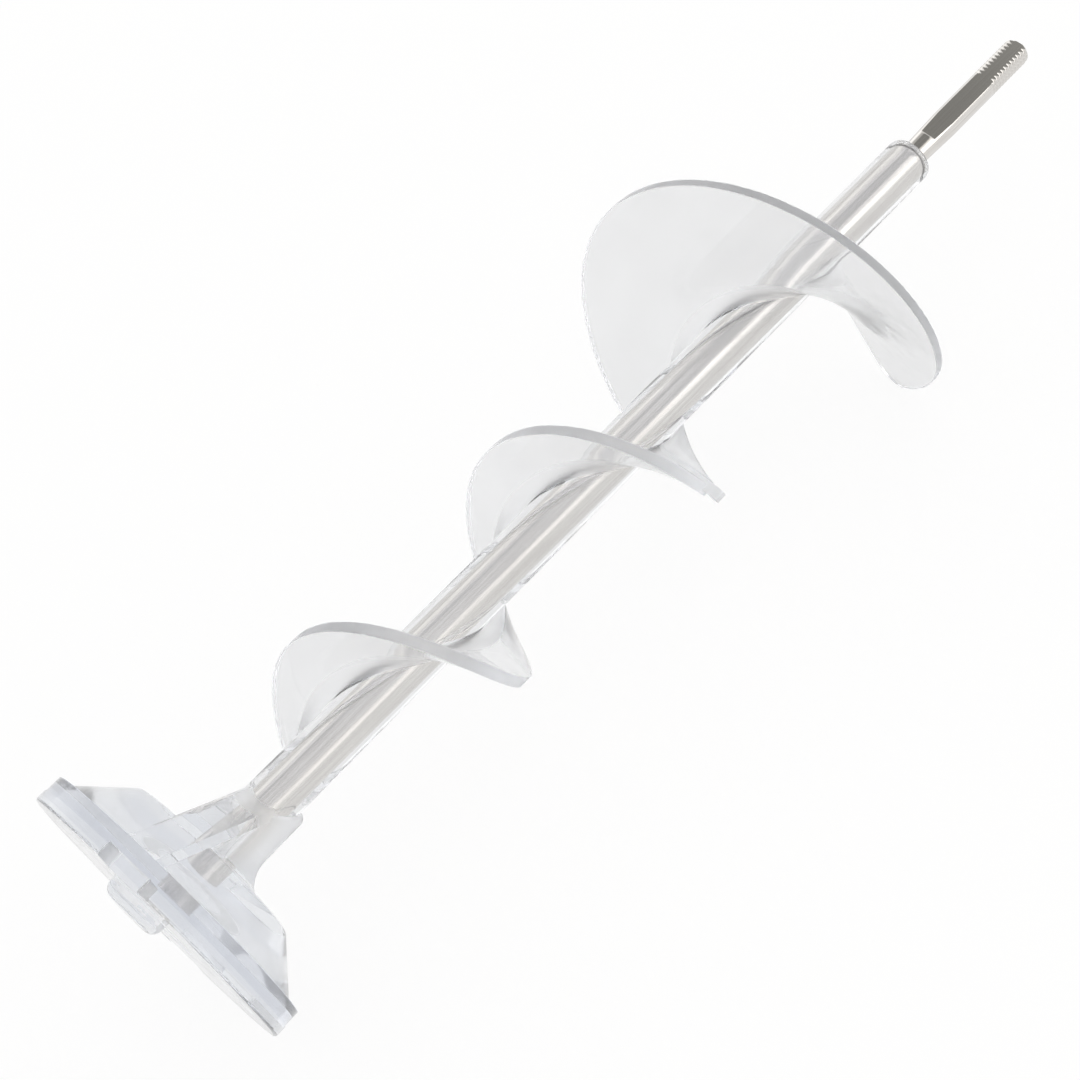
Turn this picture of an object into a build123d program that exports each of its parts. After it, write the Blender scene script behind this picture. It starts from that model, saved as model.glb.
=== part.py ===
from build123d import *
import os
from math import asin, cos, radians, sin, sqrt, tan
from typing import NamedTuple

# Ice maker auger: a clear moulded screw on a steel shaft, lying as it comes to rest.
# Sizes are in millimetres and degrees. Heights run along the screw axis from the underside of the drive
# disc towards the threaded stud. Angles run round that axis the right-hand way.

# Clear sleeve round the shaft
sleeve_diameter = 13.15
sleeve_top = 277.7
sleeve_round = 1.4
insert_gap = 0.02

# Steel shaft, with a stud that starts above the sleeve
shaft_diameter = 7.04
shaft_foot = 5.0
stud_diameter = 7.94
stud_reach = 49.7
swell_start = 1.8
swell_length = 13.0
flat_start = 6.5
flat_distance = 3.0
flat_round = 0.8
tip_chamfer = 0.8

# Drive disc and its cone
disc_diameter = 74.4
disc_thickness = 7.0
rim_line_height = 2.9
rim_step = 0.2
rim_round = 0.6
cone_foot_diameter = 68.8
cone_top_diameter = 46.2
cone_top = 17.4
cone_round = 1.2

# Collar and gusset on the cone
collar_diameter = 17.0
collar_top = 34.5
collar_slant = 37.0
collar_high_angle = 125.0
collar_round = 1.6
collar_foot_fillet = 8.0
drive_angle = -19.0
gusset_width = 10.8
gusset_peak = 39.6
gusset_reach = 36.3
gusset_chamfer = 1.6

# Drive slots and dog under the disc
slot_width = 11.8
slot_height = 3.5
slot_length = 9.5
dog_width = 13.6
dog_inner = 7.0
dog_outer = 22.5
dog_height = 3.8
dog_round = 4.5
dog_edge_round = 2.8

# Small blade of the flight
small_diameter = 45.8
small_pitch = 67.9
small_height = 81.4
small_start = -200.0
small_end = 470.0
small_corner = 5.0

# Large blade of the flight, which starts on the small one as a tongue
large_diameter = 90.4
large_pitch = 65.3
large_height = 85.6
large_end = 838.0
large_corner = 6.5
tongue_angle = 425.0
tongue_tip_turn = 22.0
tongue_radius = 26.8
tongue_rim_angle = 530.0
tongue_round = 4.0
tongue_run_in = 10.0
tongue_overshoot = 1.2

# Section of both blades
root_thickness = 3.9
flight_taper = 0.0415
root_fillet = 3.0
root_sink = 0.35
root_depth = 1.2

# Rest: the gap in the large blade's rim lies downwards
rest_angle = 141.0

shaft_radius = shaft_diameter / 2
stud_radius = stud_diameter / 2
shaft_tip = sleeve_top + stud_reach
sleeve_radius = sleeve_diameter / 2
disc_radius = disc_diameter / 2
upper_rim_radius = disc_radius - rim_step
cone_foot_radius = cone_foot_diameter / 2
cone_top_radius = cone_top_diameter / 2
collar_radius = collar_diameter / 2

# The screw axis runs along X, at the height at which the lowest of the disc, the large blade's tongue
# and the large blade's end corner touches the floor
corner_arm = large_diameter / 2 - large_corner
corner_turn = radians(large_end - rest_angle) - asin(large_corner / corner_arm)
tongue_drop = large_diameter / 2 * cos(radians(tongue_rim_angle - rest_angle))
rest_height = max(disc_radius, tongue_drop, corner_arm * cos(corner_turn) + large_corner)
drive_face = Vector((dog_height - shaft_tip) / 2, 0, rest_height)
axis = Axis(drive_face, (1, 0, 0))


def across(height, angle=0.0):
    """Plane square to the axis at a height, with its x direction at an angle."""
    turn = radians(angle - rest_angle - 90)
    return Plane(drive_face + axis.direction * height, (0, cos(turn), sin(turn)), axis.direction)


def along(angle, height=0.0):
    """Plane through the axis: x runs outwards at an angle, y runs up the axis from a height."""
    square = across(height, angle)
    return Plane(square.origin, square.x_dir, -square.y_dir)


class Blade(NamedTuple):
    """One blade of the flight: its pitch, its height at angle nought and its rim radius."""

    pitch: float
    height: float
    radius: float

    def level(self, angle):
        """Height of the blade's middle at an angle."""
        return self.height + self.pitch * angle / 360

    def path(self, start, end):
        """Helix from one angle to another."""
        climb = self.pitch * (end - start) / 360
        return across(self.level(start), start) * Helix(self.pitch, climb, sleeve_radius)

    def section(self, start):
        """Section at an angle: tapered, with a fillet to the sleeve on both sides."""
        buried = sleeve_radius - root_depth
        foot = sleeve_radius - root_sink
        face = foot + root_fillet
        half_face = half_thickness(face)
        half_foot = half_face + root_fillet
        with BuildSketch(along(start, self.level(start))) as section:
            with BuildLine():
                shelf = Polyline((buried, 0), (buried, half_foot), (foot, half_foot))
                curve = RadiusArc(shelf @ 1, (face, half_face), -root_fillet)
                Polyline(curve @ 1, (self.radius, half_thickness(self.radius)), (self.radius, 0))
                mirror(about=Plane.XZ)
            make_face()
        return section.sketch

    def corner_waste(self, angle, corner, side):
        """What a rounded corner takes off the blade at its edge at an angle, on the side it lies."""
        centre = sqrt((self.radius - corner) ** 2 - corner**2)
        beyond = (self.radius + corner) / (self.radius - corner)
        with BuildSketch(across(self.level(angle), angle)) as waste:
            with BuildLine():
                Polyline(
                    (centre, side * corner),
                    (centre, -side * corner),
                    (self.radius + corner, -side * corner),
                    (centre * beyond, side * corner * beyond),
                    close=True,
                )
            make_face()
            with Locations((centre, side * corner)):
                Circle(corner, mode=Mode.SUBTRACT)
        return waste.sketch


def half_thickness(radius):
    """Half the thickness of a blade along the axis at a radius."""
    return (root_thickness - flight_taper * (radius - sleeve_radius)) / 2


small = Blade(small_pitch, small_height, small_diameter / 2)
large = Blade(large_pitch, large_height, large_diameter / 2)


# Shaft: a rod that swells into the stud, with one flat pressed along it
with BuildPart() as steel_shaft:
    with BuildSketch(along(drive_angle)):
        with BuildLine():
            Polyline(
                (0, shaft_foot),
                (shaft_radius, shaft_foot),
                (shaft_radius, sleeve_top + swell_start),
                (stud_radius, sleeve_top + swell_start + swell_length),
                (stud_radius, shaft_tip - tip_chamfer),
                (stud_radius - tip_chamfer, shaft_tip),
                (0, shaft_tip),
                close=True,
            )
        make_face()
    revolve(axis=axis)
    with BuildSketch(along(drive_angle)) as flat:
        with Locations((flat_distance, sleeve_top + flat_start)):
            Rectangle(stud_diameter, stud_reach, align=Align.MIN)
        fillet(flat.vertices().sort_by(axis)[:2].sort_by_distance(drive_face)[:1], flat_round)
    extrude(amount=stud_diameter, both=True, mode=Mode.SUBTRACT)

# Gusset: a thick rib with a sloping, chamfered face from the sleeve to the disc
with BuildPart() as gusset:
    with BuildSketch(along(drive_angle)):
        with BuildLine():
            Polyline(
                (0, rim_line_height),
                (0, gusset_peak),
                (gusset_reach, disc_thickness),
                (gusset_reach, rim_line_height),
                close=True,
            )
        make_face()
    extrude(amount=gusset_width / 2, both=True)
    chamfer(gusset.edges().group_by(SortBy.LENGTH)[-1], length=gusset_chamfer)

# Dog: a block under the disc with its lower edges rounded
with BuildPart() as dog:
    with BuildSketch(across(disc_thickness / 2, drive_angle)):
        with Locations(((dog_inner + dog_outer) / 2, 0)):
            RectangleRounded(dog_outer - dog_inner, dog_width, dog_round)
    extrude(amount=-dog_height - disc_thickness / 2)
    fillet(dog.faces().sort_by(axis)[0].edges(), dog_edge_round)

# Small blade, with one rounded corner at its start
with BuildPart() as small_blade:
    sweep(small.section(small_start), small.path(small_start, small_end), is_frenet=True)
    start_waste = small.corner_waste(small_start, small_corner, 1)
    extrude(start_waste, amount=small_pitch / 4, both=True, mode=Mode.SUBTRACT)

# Large blade: it starts as a tongue cut straight to the rim and has a rounded corner at its end
tongue_rim = Vector(large.radius, 0).rotate(Axis.Z, tongue_rim_angle - tongue_angle)
tongue_heel = Vector(tongue_radius, 0).rotate(Axis.Z, tongue_tip_turn)
tongue_far = tongue_heel + (tongue_rim - tongue_heel) * tongue_overshoot
waste_width = 2 * large.radius
with BuildPart() as large_blade:
    early = tongue_angle - tongue_run_in
    sweep(large.section(early), large.path(early, large_end), is_frenet=True)
    with BuildSketch(across(large.level((early + tongue_rim_angle) / 2), tongue_angle)):
        with BuildLine():
            FilletPolyline(
                (0, 0),
                (tongue_radius, 0),
                tongue_heel,
                tongue_far,
                (waste_width, tongue_far.Y),
                (waste_width, -waste_width),
                (0, -waste_width),
                radius=tongue_round,
                close=True,
            )
        make_face()
    extrude(amount=large_pitch / 4, both=True, mode=Mode.SUBTRACT)
    end_waste = large.corner_waste(large_end, large_corner, -1)
    extrude(end_waste, amount=large_pitch / 4, both=True, mode=Mode.SUBTRACT)

# Collar: a boss with a flared foot and a slanting, rounded top
collar_limit = collar_top + collar_diameter
high = across(collar_top, collar_high_angle)
collar_lid = Plane(high.origin, high.y_dir, high.z_dir - high.x_dir * tan(radians(collar_slant)))
with BuildPart() as collar:
    with BuildSketch(along(drive_angle)):
        with BuildLine():
            outline = Polyline(
                (collar_radius, cone_top + collar_foot_fillet),
                (collar_radius, collar_limit),
                (0, collar_limit),
                (0, disc_thickness),
                (collar_radius + collar_foot_fillet, disc_thickness),
                (collar_radius + collar_foot_fillet, cone_top),
            )
            RadiusArc(outline @ 1, outline @ 0, collar_foot_fillet)
        make_face()
    revolve(axis=axis)
    split(bisect_by=collar_lid, keep=Keep.BOTTOM)
    fillet(collar.edges().filter_by(GeomType.ELLIPSE), collar_round)

# Clear moulding: disc, cone, collar, gusset, sleeve, blades and dog in one piece round the shaft
with BuildPart() as auger_body:
    with BuildSketch(along(drive_angle)):
        with BuildLine():
            Polyline(
                (0, 0),
                (disc_radius, 0),
                (disc_radius, rim_line_height),
                (upper_rim_radius, rim_line_height),
                (upper_rim_radius, disc_thickness),
                (cone_foot_radius, disc_thickness),
                (cone_top_radius, cone_top),
                (0, cone_top),
                close=True,
            )
        make_face()
    revolve(axis=axis)
    rings = auger_body.edges().filter_by(GeomType.CIRCLE).sort_by(axis)
    fillet(rings[-1], cone_round)
    fillet(rings[0], rim_round)
    add(collar.part)
    add(gusset.part)
    with BuildSketch(across(disc_thickness)):
        Circle(sleeve_radius)
    extrude(amount=sleeve_top - disc_thickness)
    fillet(auger_body.faces().sort_by(axis)[-1].edges(), sleeve_round)
    add(small_blade.part)
    add(large_blade.part)
    with BuildSketch(across(0, drive_angle)):
        with PolarLocations(disc_radius, 2):
            Rectangle(2 * slot_length, slot_width)
    extrude(amount=slot_height, mode=Mode.SUBTRACT)
    add(dog.part)
    with BuildSketch(across(shaft_foot - insert_gap)):
        Circle(shaft_radius + insert_gap)
    extrude(amount=shaft_tip, mode=Mode.SUBTRACT)

os.makedirs("parts", exist_ok=True)
steel_shaft.part.label = "steel_shaft"
export_step(steel_shaft.part, "parts/steel_shaft.step")
auger_body.part.label = "auger_body"
export_step(auger_body.part, "parts/auger_body.step")
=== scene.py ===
"""Dresses an ice maker auger: a clear moulded screw on a threaded steel shaft, on a white studio floor."""

import logging
import math
from collections.abc import Mapping
from dataclasses import dataclass, field
from enum import Enum

import bpy
import numpy as np
from mathutils import Matrix, Vector
from numpy.typing import NDArray


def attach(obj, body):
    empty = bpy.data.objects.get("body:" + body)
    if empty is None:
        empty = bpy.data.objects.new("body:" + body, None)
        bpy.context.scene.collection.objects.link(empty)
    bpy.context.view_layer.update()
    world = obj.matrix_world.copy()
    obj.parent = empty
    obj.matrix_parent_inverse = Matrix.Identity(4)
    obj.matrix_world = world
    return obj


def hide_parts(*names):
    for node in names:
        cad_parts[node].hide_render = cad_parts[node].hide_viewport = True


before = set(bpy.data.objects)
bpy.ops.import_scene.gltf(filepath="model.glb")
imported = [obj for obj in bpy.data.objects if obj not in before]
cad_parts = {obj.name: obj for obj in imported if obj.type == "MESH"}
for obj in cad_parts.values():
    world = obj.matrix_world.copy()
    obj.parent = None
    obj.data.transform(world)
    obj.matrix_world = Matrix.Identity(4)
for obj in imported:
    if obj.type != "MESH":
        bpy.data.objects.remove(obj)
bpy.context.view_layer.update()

log = logging.getLogger("auger")
MM = 0.001
SHARP_ANGLE = 32.0

Floats = NDArray[np.float64]
Colour = tuple[float, float, float, float]


class Maths(Enum):
    """The sums that a Math node is asked for."""

    ADD = "ADD"
    SUBTRACT = "SUBTRACT"
    MULTIPLY = "MULTIPLY"
    DIVIDE = "DIVIDE"
    POWER = "POWER"
    SIZE = "ABSOLUTE"
    LEAST = "MINIMUM"
    MOST = "MAXIMUM"


class Wave(Enum):
    """How a noise is stretched over a piece, as its scale along X, Y and Z."""

    EVEN = (1.0, 1.0, 1.0)
    DRAWN = (0.012, 1.0, 1.0)
    FLOW = (0.45, 1.0, 1.0)


class Value:
    """One number that a shader works out, with the usual arithmetic.

    Args:
        tree: The node tree that the number belongs to.
        socket: The output that gives the number.
    """

    def __init__(self, tree: "Tree", socket: bpy.types.NodeSocket) -> None:
        """Keeps the tree and the socket."""
        self.tree = tree
        self.socket = socket

    def _sum(self, how: Maths, first: "Value | float", second: "Value | float") -> "Value":
        """Adds one Math node.

        Args:
            how: The sum.
            first: Its first number.
            second: Its second number.

        Returns:
            The result.
        """
        return self.tree.node("ShaderNodeMath", {"operation": how.value}, {0: first, 1: second})

    def __add__(self, other: "Value | float") -> "Value":
        """self + other."""
        return self._sum(Maths.ADD, self, other)

    __radd__ = __add__

    def __sub__(self, other: "Value | float") -> "Value":
        """self - other."""
        return self._sum(Maths.SUBTRACT, self, other)

    def __rsub__(self, other: float) -> "Value":
        """other - self."""
        return self._sum(Maths.SUBTRACT, other, self)

    def __mul__(self, other: "Value | float") -> "Value":
        """self * other."""
        return self._sum(Maths.MULTIPLY, self, other)

    __rmul__ = __mul__

    def __truediv__(self, other: "Value | float") -> "Value":
        """self / other."""
        return self._sum(Maths.DIVIDE, self, other)

    def __pow__(self, other: float) -> "Value":
        """self to a power."""
        return self._sum(Maths.POWER, self, other)

    def held(self, low: float, high: float) -> "Value":
        """self, kept between two numbers."""
        return self._sum(Maths.LEAST, self._sum(Maths.MOST, self, low), high)

    def near(self, other: float, width: float) -> "Value":
        """One where self equals another number, falling to nought over a width on both sides."""
        return (1.0 - self._sum(Maths.SIZE, self - other, 0.0) / width).held(0.0, 1.0)


class Tree:
    """A node tree being filled.

    Args:
        tree: The tree of a material or of the world. It is emptied first.
    """

    def __init__(self, tree: bpy.types.NodeTree) -> None:
        """Empties the tree."""
        self.tree = tree
        self.tree.nodes.clear()

    def node(self, kind: str, settings: Mapping[str, object] | None = None,
             inputs: Mapping[str | int, object] | None = None, out: str | int = 0) -> Value:
        """Adds a node of any type.

        Args:
            kind: The node's type.
            settings: Its settings, which are set first.
            inputs: Its sockets by name or number, each with a value or a Value to link.
            out: The output to return.

        Returns:
            That output.
        """
        made = self.tree.nodes.new(kind)
        for name, setting in (settings or {}).items():
            setattr(made, name, setting)
        for name, given in (inputs or {}).items():
            if isinstance(given, Value):
                self.tree.links.new(given.socket, made.inputs[name])
            else:
                made.inputs[name].default_value = given
        return Value(self, made.outputs[out] if len(made.outputs) else None)

    def place(self, out: str) -> Value:
        """One Object coordinate, X, Y or Z."""
        spot = self.node("ShaderNodeTexCoord", out="Object")
        return self.node("ShaderNodeSeparateXYZ", inputs={"Vector": spot}, out=out)

    def noise(self, scale: float, stretch: Wave = Wave.EVEN, detail: float = 3.0) -> Value:
        """A noise on Object coordinates.

        Args:
            scale: Its waves per metre.
            stretch: How it is drawn out along X.
            detail: How many finer waves it carries.

        Returns:
            The noise, about a half on average.
        """
        place = self.node("ShaderNodeTexCoord", out="Object")
        turned = self.node("ShaderNodeMapping", inputs={"Vector": place, "Scale": stretch.value})
        return self.node("ShaderNodeTexNoise", inputs={"Vector": turned, "Scale": scale, "Detail": detail})

    def blend(self, share: Value, first: Value | Colour, second: Value | Colour) -> Value:
        """A colour between two others.

        Args:
            share: How much of the second colour it has.
            first: The first colour.
            second: The second colour.

        Returns:
            The colour.
        """
        return self.node("ShaderNodeMix", {"data_type": "RGBA"}, {0: share, 6: first, 7: second}, 2)

    def rays(self, *names: str) -> Value:
        """One for a ray of any of the named kinds of Light Path, and nought for the others."""
        first, *others = (self.node("ShaderNodeLightPath", out=name) for name in names)
        for other in others:
            first = first + other
        return first.held(0.0, 1.0)


@dataclass(frozen=True)
class Lay:
    """How the auger lies: along X, at a height over the floor and turned about its own axis.

    Heights run up the axis from the drive face, and angles run round it from the front.
    """

    axis_height: float = 39.533 * MM
    drive_face: float = -161.8 * MM
    rest_angle: float = 141.0

    def toward(self, angle: Floats | float) -> Floats:
        """The direction out of the axis at an angle.

        Args:
            angle: Angles in degrees.

        Returns:
            Unit vectors, along a new last axis: no X, then the cosine and the sine of the turned angle.
        """
        turn = np.radians(np.asarray(angle, float) - self.rest_angle - 90.0)
        return np.stack([np.zeros_like(turn), np.cos(turn), np.sin(turn)], axis=-1)

    def point(self, height: Floats | float, angle: Floats | float, radius: Floats | float) -> Floats:
        """Points at a height, angle and radius, which are arrays of one shape.

        Args:
            height: Heights up the axis.
            angle: Angles in degrees.
            radius: Distances from the axis.

        Returns:
            The axis point at each height plus the radius times the direction at each angle.
        """
        middle = np.stack([self.drive_face + np.asarray(height, float), np.zeros_like(height, float),
                           np.full_like(height, self.axis_height, float)], axis=-1)
        return middle + np.asarray(radius, float)[..., None] * self.toward(angle)


LAY = Lay()


@dataclass(frozen=True)
class DrawnSteel:
    """Plain drawn steel, with fine lines along the shaft."""

    bright: Colour = (0.86, 0.84, 0.81, 1.0)
    dull: Colour = (0.65, 0.625, 0.595, 1.0)
    smooth: float = 0.12
    rough: float = 0.22
    line_scale: float = 2600.0
    line_depth: float = 0.004 * MM
    line_strength: float = 0.35
    line_share: float = 1.5
    patch_scale: float = 90.0
    patch_share: float = 0.5
    bright_share: float = 0.5

    def material(self) -> bpy.types.Material:
        """The steel: lines drawn along X change its colour and roughness and stand up a little.

        Returns:
            The material.
        """
        made = bpy.data.materials.new("drawn_steel")
        made.use_nodes = True
        tree = Tree(made.node_tree)
        lines = tree.noise(self.line_scale, Wave.DRAWN)
        patches = tree.noise(self.patch_scale, Wave.FLOW)
        share = (lines * self.line_share + patches * self.patch_share - self.bright_share).held(0.0, 1.0)
        bump = tree.node("ShaderNodeBump", inputs={
            "Strength": self.line_strength, "Distance": self.line_depth, "Height": lines})
        surface = tree.node("ShaderNodeBsdfPrincipled", inputs={
            "Base Color": tree.blend(share, self.bright, self.dull), "Metallic": 1.0,
            "Roughness": self.smooth + (self.rough - self.smooth) * share, "Normal": bump})
        tree.node("ShaderNodeOutputMaterial", inputs={"Surface": surface})
        return made


@dataclass(frozen=True)
class ClearPlastic:
    """Clear moulded plastic with faint flow ripples and a little haze.

    Its rims, root fillets, tongue and slot walls are duller than its faces. They are found by their radius
    from the axis and by their height up it, and a gain says how sharply each of them ends. The upper band
    of the disc's rim is found the same way and takes a darker, bluer colour: painted shade.
    """

    clear: Colour = (0.95, 0.952, 0.957, 1.0)
    hazy: Colour = (0.91, 0.912, 0.918, 1.0)
    haze_scale: float = 45.0
    haze_detail: float = 4.0
    haze_gain: float = 2.2
    haze_floor: float = 0.6
    index: float = 1.42
    clearness: float = 0.87
    smooth: float = 0.01
    rough: float = 0.03
    ripple_scale: float = 70.0
    ripple_detail: float = 2.0
    ripple_strength: float = 0.25
    ripple_depth: float = 0.35 * MM
    depth_tint: Colour = (0.78, 0.82, 0.88, 1.0)
    depth_density: float = 9.0
    shadow: Colour = (0.955, 0.96, 0.965, 1.0)
    edge: Colour = (0.97, 0.975, 0.99, 1.0)
    edge_rough: float = 0.95
    edge_width: float = 0.3 * MM
    edge_gain: float = 3.0
    large_rim: float = 45.2 * MM
    small_rim: float = 22.9 * MM
    small_reach: tuple[float, float] = (22.8 * MM, 165.8 * MM)
    disc_rim: float = 37.0 * MM
    # painted shade: the darker, bluer colour laid on the upper band of the disc's rim
    band_shade: Colour = (0.78, 0.792, 0.83, 1.0)
    band_height: float = 4.95 * MM
    band_width: float = 2.05 * MM
    band_gain: float = 9.0
    soft_rough: float = 0.6
    root_radius: float = 9.1 * MM
    root_width: float = 2.45 * MM
    root_gain: float = 5.0
    tongue_height: float = 167.8 * MM
    tongue_width: float = 11.0 * MM
    tongue_foot: float = 7.0 * MM
    tongue_gain: float = 2.0
    slot_angle: float = -19.0
    slot_half: float = 5.9 * MM
    slot_foot: float = 27.0 * MM
    slot_height: float = 1.75 * MM
    slot_width: float = 1.9 * MM
    slot_gain: float = 9.0

    def height(self, tree: Tree) -> Value:
        """Height up the axis from the drive face."""
        return tree.place("X") - LAY.drive_face

    def radius(self, tree: Tree) -> Value:
        """Distance from the axis: the root of the squares of Y and of the height over the axis."""
        return (tree.place("Y") ** 2 + (tree.place("Z") - LAY.axis_height) ** 2) ** 0.5

    def soft(self, tree: Tree) -> Value:
        """One where the moulding is duller: in the root fillets and on the large blade's tongue.

        Args:
            tree: The tree of the plastic.

        Returns:
            The share of dull surface, by the radius and, on the tongue, by the height too.
        """
        radius = self.radius(tree)
        roots = radius.near(self.root_radius, self.root_width) * self.root_gain
        tongue = self.height(tree).near(self.tongue_height, self.tongue_width) * self.tongue_gain
        return (roots + tongue * ((radius - self.tongue_foot) / MM).held(0.0, 1.0)).held(0.0, 1.0)

    def slot_walls(self, tree: Tree) -> Value:
        """One on the side walls of the drive slots.

        Args:
            tree: The tree of the plastic.

        Returns:
            The share of wall, by the distance from the slots' middle plane, the height and the radius.
        """
        _, across_y, across_z = LAY.toward(self.slot_angle + 90.0).tolist()
        aside = tree.place("Y") * across_y + (tree.place("Z") - LAY.axis_height) * across_z
        walls = ((aside ** 2) ** 0.5).near(self.slot_half, self.edge_width) * self.edge_gain
        depth = self.height(tree).near(self.slot_height, self.slot_width) * self.slot_gain
        outer = (self.radius(tree) - self.slot_foot) / MM
        return walls.held(0.0, 1.0) * depth.held(0.0, 1.0) * outer.held(0.0, 1.0)

    def rims(self, tree: Tree) -> Value:
        """One on the rims of the blades.

        Args:
            tree: The tree of the plastic.

        Returns:
            The share of rim, by the radius. The small blade's rim only counts along its own stretch of the
            axis.
        """
        radius = self.radius(tree)
        first, last = self.small_reach
        stretch = self.height(tree).near((first + last) / 2, (last - first) / 2) / self.edge_width
        small = radius.near(self.small_rim, self.edge_width) * stretch.held(0.0, 1.0)
        large = radius.near(self.large_rim, self.edge_width)
        return ((small + large) * self.edge_gain).held(0.0, 1.0)

    def disc_band_shade(self, tree: Tree) -> Value:
        """One on the upper band of the disc's rim, by the radius and the height.

        Args:
            tree: The tree of the plastic.

        Returns:
            The share of the band, where a darker, bluer colour is painted on as shade.
        """
        around = self.radius(tree).near(self.disc_rim, self.edge_width) * self.edge_gain
        upper = self.height(tree).near(self.band_height, self.band_width) * self.band_gain
        return (around * upper).held(0.0, 1.0)

    def material(self) -> bpy.types.Material:
        """The plastic: it bends light, takes a little off along its depth and lets lamps through.

        Returns:
            The material.
        """
        made = bpy.data.materials.new("clear_plastic")
        made.use_nodes = True
        tree = Tree(made.node_tree)
        ripples = tree.noise(self.ripple_scale, Wave.FLOW, self.ripple_detail)
        clouds = tree.noise(self.haze_scale, Wave.EVEN, self.haze_detail)
        haze = (clouds * self.haze_gain - self.haze_floor).held(0.0, 1.0)
        rims = self.rims(tree)
        polish = self.smooth + (self.rough - self.smooth) * haze
        dull = self.edge_rough * rims + self.soft_rough * (self.soft(tree) + self.slot_walls(tree))
        # painted shade: the upper band of the disc's rim is blended to a darker, bluer base colour
        faces = tree.blend(self.disc_band_shade(tree), tree.blend(haze, self.clear, self.hazy), self.band_shade)
        bump = tree.node("ShaderNodeBump", inputs={
            "Strength": self.ripple_strength, "Distance": self.ripple_depth, "Height": ripples})
        surface = tree.node("ShaderNodeBsdfPrincipled", inputs={
            "Base Color": tree.blend(rims, faces, self.edge), "Transmission Weight": self.clearness,
            "IOR": self.index, "Roughness": polish + dull, "Normal": bump})
        lamps = tree.node("ShaderNodeBsdfTransparent", inputs={"Color": self.shadow})
        shown = tree.node("ShaderNodeMixShader", inputs={0: tree.rays("Is Shadow Ray"), 1: surface, 2: lamps})
        depth = tree.node("ShaderNodeVolumeAbsorption", inputs={
            "Color": self.depth_tint, "Density": self.depth_density})
        tree.node("ShaderNodeOutputMaterial", inputs={"Surface": shown, "Volume": depth})
        return made


def round_mesh(name: str, rings: Floats, ends: Floats) -> bpy.types.Object:
    """A closed round surface from rings of points.

    Args:
        name: The object's name.
        rings: Points by ring, by column and by coordinate. Columns run round the right-hand way.
        ends: The two points that close the first and the last ring.

    Returns:
        The object, at the origin. Each quad joins a column to the next on two rings, and a fan closes each
        end.
    """
    rows, columns = rings.shape[:2]
    index = np.arange(rows * columns).reshape(rows, columns)
    beside = np.roll(index, -1, axis=1)
    quads = np.stack([index[:-1], beside[:-1], beside[1:], index[1:]], axis=-1).reshape(-1, 4)
    foot, tip = rows * columns, rows * columns + 1
    foot_fan = np.stack([beside[0], index[0], np.full(columns, foot)], axis=-1)
    tip_fan = np.stack([index[-1], beside[-1], np.full(columns, tip)], axis=-1)
    mesh = bpy.data.meshes.new(name)
    points = np.concatenate([rings.reshape(-1, 3), ends])
    mesh.from_pydata(points.tolist(), [], quads.tolist() + foot_fan.tolist() + tip_fan.tolist())
    mesh.shade_smooth()
    mesh.set_sharp_from_angle(angle=math.radians(SHARP_ANGLE))
    made = bpy.data.objects.new(name, mesh)
    bpy.context.scene.collection.objects.link(made)
    return made


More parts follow.
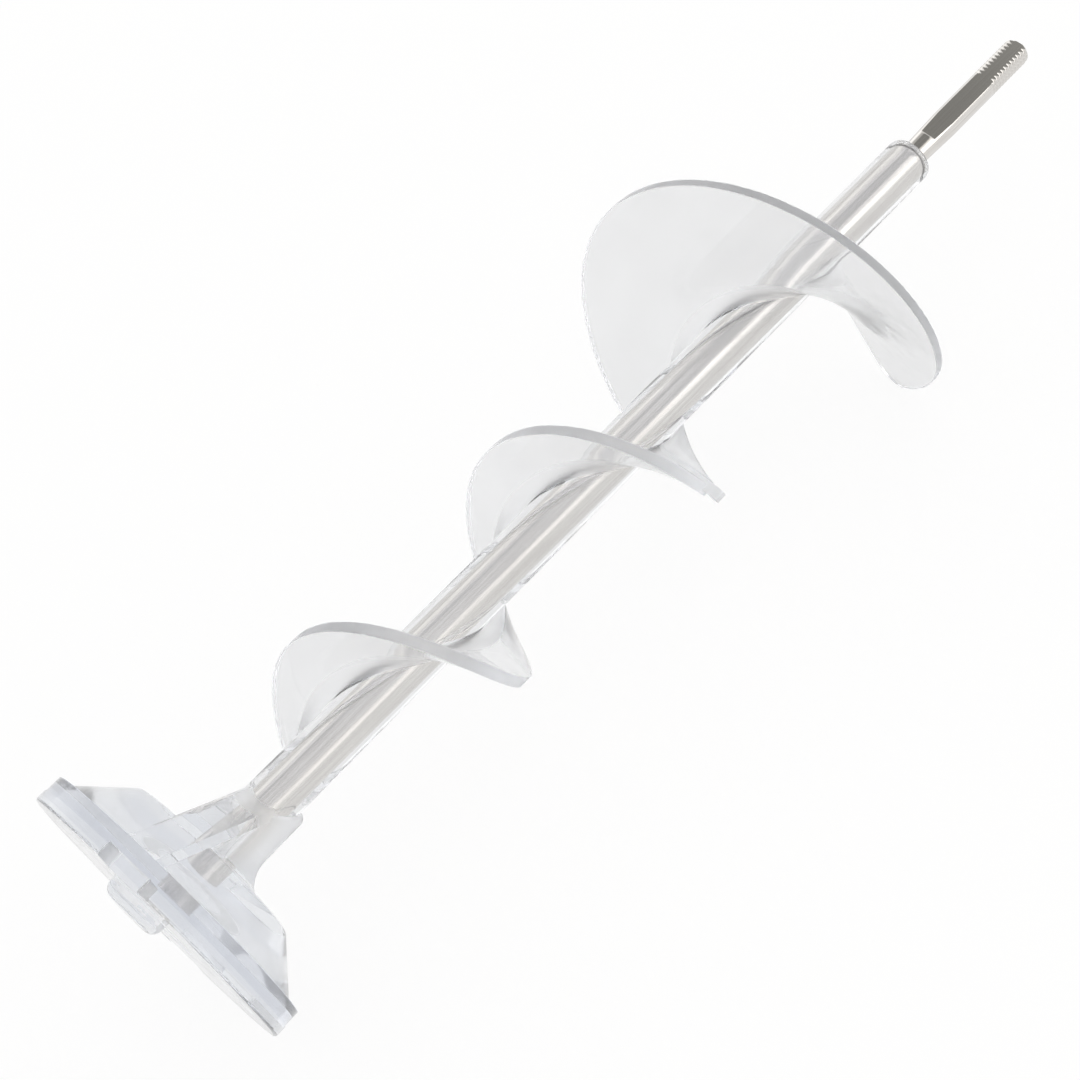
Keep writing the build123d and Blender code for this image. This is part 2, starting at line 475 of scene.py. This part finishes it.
@dataclass
class ThreadedShaft:
    """The steel shaft: a rod that swells into a stud with a flat and a thread."""

    foot: float = 4.95 * MM
    rod_radius: float = 3.52 * MM
    stud_radius: float = 3.97 * MM
    contact: float = 0.05 * MM
    contact_end: float = 276.8 * MM
    sleeve_top: float = 277.7 * MM
    swell_start: float = 279.5 * MM
    swell_end: float = 292.5 * MM
    flat_angle: float = -19.0
    flat_start: float = 284.2 * MM
    flat_distance: float = 3.0 * MM
    flat_round: float = 0.8 * MM
    thread_start: float = 310.4 * MM
    thread_pitch: float = 1.411 * MM
    thread_depth: float = 0.62 * MM
    tip: float = 327.4 * MM
    tip_chamfer: float = 0.8 * MM
    crest_share: float = 0.16
    flank_share: float = 0.66
    facing_least: float = 0.05
    columns: int = 192
    thread_rows: int = 18
    rod_rows: int = 24
    step_rows: int = 4
    swell_rows: int = 8
    stud_rows: int = 10
    run_out_rows: int = 14
    tip_rows: int = 12
    finish: DrawnSteel = field(default_factory=DrawnSteel)

    def heights(self) -> Floats:
        """The heights of the rings, close together where the shape changes."""
        thread_end = self.tip - self.tip_chamfer
        turns = (thread_end - self.thread_start) / self.thread_pitch
        return np.unique(np.concatenate([
            np.linspace(self.foot, self.contact_end, self.rod_rows),
            np.linspace(self.contact_end, self.sleeve_top, self.step_rows),
            np.linspace(self.swell_start, self.flat_start, self.swell_rows),
            np.linspace(self.flat_start, self.flat_start + self.flat_round, self.run_out_rows),
            np.linspace(self.flat_start + self.flat_round, self.swell_end, self.stud_rows),
            np.linspace(self.swell_end, self.thread_start, self.stud_rows),
            np.linspace(self.thread_start, thread_end, round(turns * self.thread_rows)),
            np.linspace(thread_end, self.tip, self.tip_rows)]))

    def groove(self, height: Floats, angle: Floats) -> Floats:
        """Depth of the thread's groove.

        Args:
            height: Heights up the axis.
            angle: Angles in degrees.

        Returns:
            A wave that climbs one pitch each turn, cut flat at its crest and root, and that runs in over one
            pitch.
        """
        phase = (height / self.thread_pitch - angle / 360.0) % 1.0
        flank = np.clip((np.abs(phase - 0.5) * 2.0 - self.crest_share) / self.flank_share, 0.0, 1.0)
        run_in = np.clip((height - self.thread_start) / self.thread_pitch, 0.0, 1.0)
        return self.thread_depth * flank * run_in

    def radius(self, height: Floats, angle: Floats) -> Floats:
        """The shaft's radius.

        Args:
            height: Heights up the axis.
            angle: Angles in degrees.

        Returns:
            The rod's radius, swelling in a straight line to the stud's and less the groove and the tip's
            chamfer, or the flat's distance over the cosine of the angle from the flat where that is less.
        """
        places = [self.contact_end, self.sleeve_top, self.swell_start, self.swell_end]
        radii = [self.rod_radius + self.contact, self.rod_radius, self.rod_radius, self.stud_radius]
        plain = np.interp(height, places, radii)
        plain = plain - np.clip(height - self.tip + self.tip_chamfer, 0.0, None)
        threaded = np.minimum(plain, self.stud_radius - self.groove(height, angle))
        below = np.clip(self.flat_start + self.flat_round - height, 0.0, self.flat_round)
        reach = self.flat_distance + self.flat_round - np.sqrt(self.flat_round**2 - below**2)
        facing = np.cos(np.radians(angle - self.flat_angle))
        flattened = (facing > self.facing_least) & (height >= self.flat_start)
        cut = np.where(flattened, reach / np.maximum(facing, self.facing_least), np.inf)
        return np.minimum(threaded, cut)

    def build(self) -> bpy.types.Object:
        """Makes the shaft in place of the plain one.

        Returns:
            The shaft.
        """
        angles = self.flat_angle + np.arange(self.columns) * 360.0 / self.columns
        height, angle = np.meshgrid(self.heights(), angles, indexing="ij")
        ends = LAY.point(np.array([self.foot, self.tip]), np.zeros(2), np.zeros(2))
        made = round_mesh("threaded_shaft", LAY.point(height, angle, self.radius(height, angle)), ends)
        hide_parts("steel_shaft")
        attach(made, "root")
        return made

    def dress(self, piece: bpy.types.Object) -> None:
        """Gives the shaft its steel."""
        piece.data.materials.append(self.finish.material())


@dataclass
class ScrewBody:
    """The clear moulding: drive disc, sleeve and blades in one piece."""

    node: str = "auger_body"
    finish: ClearPlastic = field(default_factory=ClearPlastic)

    def dress(self) -> bpy.types.Object:
        """Gives the moulding its clear plastic.

        Returns:
            The moulding.
        """
        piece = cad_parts[self.node]
        piece.data.materials.clear()
        piece.data.materials.append(self.finish.material())
        return piece


@dataclass(frozen=True)
class SoftBox:
    """A square lamp that faces the auger."""

    name: str
    place: tuple[float, float, float]
    width: float
    height: float
    radiance: float
    colour: tuple[float, float, float]

    def light(self, target: Vector) -> bpy.types.Object:
        """Hangs the lamp.

        Args:
            target: The point that it faces.

        Returns:
            The lamp. Its power is pi times its area times its radiance.
        """
        lamp = bpy.data.lights.new(self.name, "AREA")
        lamp.shape, lamp.size, lamp.size_y = "RECTANGLE", self.width, self.height
        lamp.energy = math.pi * self.width * self.height * self.radiance
        lamp.color = self.colour
        made = bpy.data.objects.new(self.name, lamp)
        made.location = self.place
        made.rotation_euler = (target - Vector(self.place)).to_track_quat("-Z", "Y").to_euler()
        made.visible_camera = False
        bpy.context.scene.collection.objects.link(made)
        return made


@dataclass
class Studio:
    """White floor and backdrop, a grey ceiling and soft boxes.

    The floor is mostly lit by itself for the rays that are seen, and metal and plastic show it too. The
    ceiling starts over the backdrop, at a height given as the upward share of a ray's direction.
    """

    floor_reach: float = 4.0
    floor_drop: float = 0.05 * MM
    floor_cells: int = 8
    floor_white: Colour = (0.96, 0.957, 0.95, 1.0)
    floor_pale: Colour = (0.93, 0.927, 0.92, 1.0)
    floor_glow: float = 0.86
    floor_grain: float = 30.0
    floor_rough: float = 0.9
    floor_in_object: Colour = (0.885, 0.885, 0.885, 1.0)
    room: Colour = (0.85, 0.85, 0.85, 1.0)
    ceiling_in_metal: Colour = (0.235, 0.235, 0.225, 1.0)
    ceiling_in_plastic: Colour = (0.63, 0.64, 0.675, 1.0)
    backdrop: Colour = (1.0, 1.0, 1.0, 1.0)
    backdrop_top: float = 0.38
    ceiling_start: float = 0.56
    boxes: tuple[SoftBox, ...] = (
        SoftBox("front_box", (1.1, -0.95, 0.56), 1.0, 1.1, 0.9, (1.0, 0.97, 0.94)),
        SoftBox("low_box", (0.1, -0.98, 0.31), 1.3, 0.58, 0.35, (1.0, 0.96, 0.92)),
        SoftBox("over_box", (-0.1, -0.27, 1.02), 1.3, 1.7, 0.2, (1.0, 0.97, 0.93)),
        SoftBox("far_box", (1.75, 0.0, 1.05), 1.0, 1.2, 0.14, (1.0, 0.97, 0.93)),
        SoftBox("back_box", (0.3, 0.93, 0.51), 2.2, 1.0, 0.3, (1.0, 0.98, 0.96)),
    )

    def floor(self) -> bpy.types.Object:
        """A level square, white to the camera, in metal and in plastic, which keeps a faint shadow.

        Returns:
            The floor: a grid of points at evenly spaced X and Y.
        """
        line = np.linspace(-self.floor_reach, self.floor_reach, self.floor_cells + 1)
        x, y = np.meshgrid(line, line, indexing="ij")
        points = np.stack([x, y, np.full_like(x, -self.floor_drop)], axis=-1).reshape(-1, 3)
        index = np.arange(points.shape[0]).reshape(x.shape)
        quads = np.stack([index[:-1, :-1], index[1:, :-1], index[1:, 1:], index[:-1, 1:]], axis=-1)
        mesh = bpy.data.meshes.new("floor")
        mesh.from_pydata(points.tolist(), [], quads.reshape(-1, 4).tolist())
        mesh.materials.append(self.floor_material())
        made = bpy.data.objects.new("floor", mesh)
        bpy.context.scene.collection.objects.link(made)
        return made

    def floor_material(self) -> bpy.types.Material:
        """The floor's paint: dull white with a faint grain, mostly lit by itself for the rays that are seen.

        Returns:
            The material.
        """
        made = bpy.data.materials.new("studio_floor")
        made.use_nodes = True
        tree = Tree(made.node_tree)
        paint = tree.node("ShaderNodeBsdfPrincipled", inputs={
            "Base Color": tree.blend(tree.noise(self.floor_grain), self.floor_white, self.floor_pale),
            "Roughness": self.floor_rough, "Specular IOR Level": 0.0})
        white = tree.blend(tree.rays("Is Camera Ray"), self.floor_in_object, self.backdrop)
        glow = tree.node("ShaderNodeEmission", inputs={"Color": white, "Strength": 1.0})
        seen = tree.rays("Is Camera Ray", "Is Glossy Ray", "Is Transmission Ray") * self.floor_glow
        shown = tree.node("ShaderNodeMixShader", inputs={0: seen, 1: paint, 2: glow})
        tree.node("ShaderNodeOutputMaterial", inputs={"Surface": shown})
        return made

    def air(self) -> None:
        """Lights the room in pale grey, with a white backdrop below the ceiling in metal and plastic."""
        world = bpy.data.worlds.new("studio")
        world.use_nodes = True
        bpy.context.scene.world = world
        tree = Tree(world.node_tree)
        over = (tree.place("Z") - self.backdrop_top) / (self.ceiling_start - self.backdrop_top)
        ceiling = over.held(0.0, 1.0)
        in_metal = tree.blend(ceiling, self.backdrop, self.ceiling_in_metal)
        in_plastic = tree.blend(ceiling, self.backdrop, self.ceiling_in_plastic)
        mirrored = tree.blend(tree.rays("Is Glossy Ray"), self.room, in_metal)
        around = tree.blend(tree.rays("Is Transmission Ray"), mirrored, in_plastic)
        shown = tree.blend(tree.rays("Is Camera Ray"), around, self.backdrop)
        light = tree.node("ShaderNodeBackground", inputs={"Color": shown})
        tree.node("ShaderNodeOutputWorld", inputs={"Surface": light})

    def build(self) -> None:
        """Lays the floor, lights the room and hangs the soft boxes."""
        self.floor()
        self.air()
        target = Vector((0.0, 0.0, LAY.axis_height))
        for box in self.boxes:
            box.light(target)
        bpy.context.scene.view_settings.view_transform = "Standard"


@dataclass(frozen=True)
class PhotoCamera:
    """The camera: it looks down on the screw from the drive disc's side, turned so the axis slants."""

    target_height: float = 125.82 * MM
    ahead: float = 412.6 * MM
    back: float = 139.6 * MM
    aside: float = 1.52 * MM
    roll: float = 45.27
    lens: float = 59.70
    sensor: float = 36.0
    nearest: float = 0.01
    farthest: float = 50.0

    def build(self) -> bpy.types.Object:
        """Places the camera.

        Returns:
            The camera. Its own up and right are the axis direction and the auger's right, seen square to the
            view and turned by the roll.
        """
        right = Vector(LAY.toward(90.0))
        target = Vector((LAY.drive_face + self.target_height, 0.0, LAY.axis_height)) + right * self.aside
        place = target + Vector(LAY.toward(0.0)) * self.ahead - Vector((self.back, 0.0, 0.0))
        view = (target - place).normalized()
        up = right.cross(view)
        cosine, sine = math.cos(math.radians(self.roll)), math.sin(math.radians(self.roll))
        turned = Matrix((up * cosine + right * sine, up * sine - right * cosine, -view)).transposed()
        camera = bpy.data.cameras.new("photo_camera")
        camera.lens, camera.sensor_width, camera.dof.use_dof = self.lens, self.sensor, False
        camera.clip_start, camera.clip_end = self.nearest, self.farthest
        made = bpy.data.objects.new("photo_camera", camera)
        made.matrix_world = Matrix.Translation(place) @ turned.to_4x4()
        bpy.context.scene.collection.objects.link(made)
        bpy.context.scene.camera = made
        return made


def main() -> None:
    """Builds the studio, the camera, the shaft and the moulding."""
    logging.basicConfig(level=logging.INFO, format="%(message)s")
    Studio().build()
    PhotoCamera().build()
    shaft = ThreadedShaft()
    piece = shaft.build()
    shaft.dress(piece)
    log.info("%s: %d faces", piece.name, len(piece.data.polygons))
    body = ScrewBody().dress()
    log.info("%s: %d faces", body.name, len(body.data.polygons))


if __name__ == "__main__":
    main()
